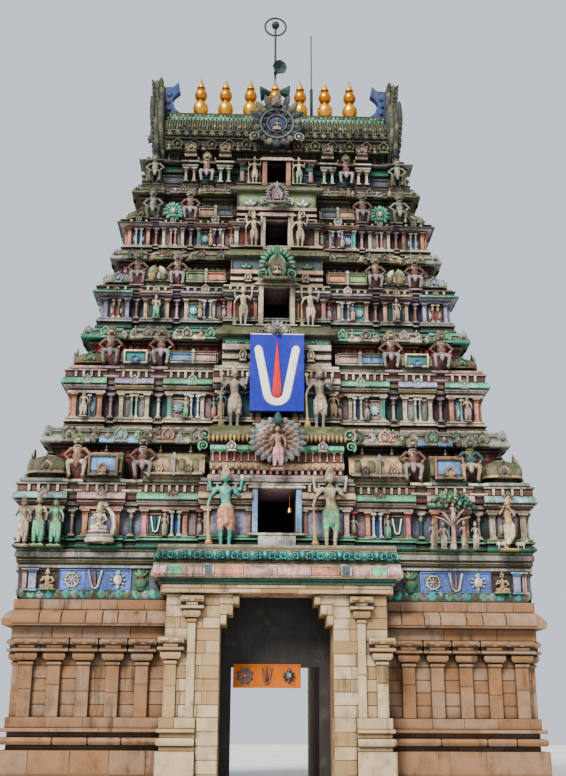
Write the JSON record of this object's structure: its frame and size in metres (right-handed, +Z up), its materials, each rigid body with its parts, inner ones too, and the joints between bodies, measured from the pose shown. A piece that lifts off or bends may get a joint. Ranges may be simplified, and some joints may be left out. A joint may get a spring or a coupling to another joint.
{
  "type": "gopuram",
  "caption": "South Indian temple gate tower: granite gate storey, stepped tiers of painted stucco with windows, barrel roof and gilded finials.",
  "frame": {"origin": "on the ground under the middle of the tower, at the middle of its bounding box", "axes": "+Z up, front towards -Y, +X to the right of someone facing the front"},
  "size_m": [11.979, 10.46, 22.86],
  "materials": {
    "granite": "weathered tan granite ashlar with dark joints",
    "frieze": "painted lime plaster",
    "stucco": "lime stucco painted in many colours, weathered",
    "eaves": "painted stucco eaves with moss and soot",
    "roof": "dark mossy carved stucco",
    "gable": "blue grey painted stucco",
    "gold": "gilded copper",
    "wood": "dark painted timber",
    "board": "orange painted boards",
    "sign": "blue painted boards",
    "iron": "dark painted steel"
  },
  "bodies": {
    "root": {"plinth_left": "granite", "plinth_right": "granite", "base_wall_left": "granite", "base_wall_right": "granite", "painted_frieze_left": "frieze", "painted_frieze_right": "frieze", "gate_pier_front_left": "granite", "gate_pier_front_right": "granite", "gate_pier_back_left": "granite", "gate_pier_back_right": "granite", "porch_entablature_front": "eaves", "porch_entablature_back": "eaves", "passage_ceiling": "granite", "passage_frame": "wood", "doorway_board": "board", "tier_1_front_wall": "stucco", "tier_1_back_wall": "stucco", "tier_1_left_wall": "stucco", "tier_1_right_wall": "stucco", "tier_1_eaves": "eaves", "tier_2_front_wall": "stucco", "tier_2_back_wall": "stucco", "tier_2_left_wall": "stucco", "tier_2_right_wall": "stucco", "tier_2_eaves": "eaves", "tier_3_front_wall": "stucco", "tier_3_back_wall": "stucco", "tier_3_left_wall": "stucco", "tier_3_right_wall": "stucco", "tier_3_eaves": "eaves", "tier_4_walls": "stucco", "tier_4_eaves": "eaves", "tier_5_walls": "stucco", "tier_5_eaves": "eaves", "barrel_roof": "roof", "roof_gable_left": "gable", "roof_gable_right": "gable", "roof_fan_front": "gable", "roof_fan_back": "gable", "finial_1": "gold", "finial_2": "gold", "finial_3": "gold", "finial_4": "gold", "finial_5": "gold", "finial_6": "gold", "finial_7": "gold", "lamp_pole": "iron", "lightning_rod": "iron", "signboard": "sign"}
  },
  "joints": []
}
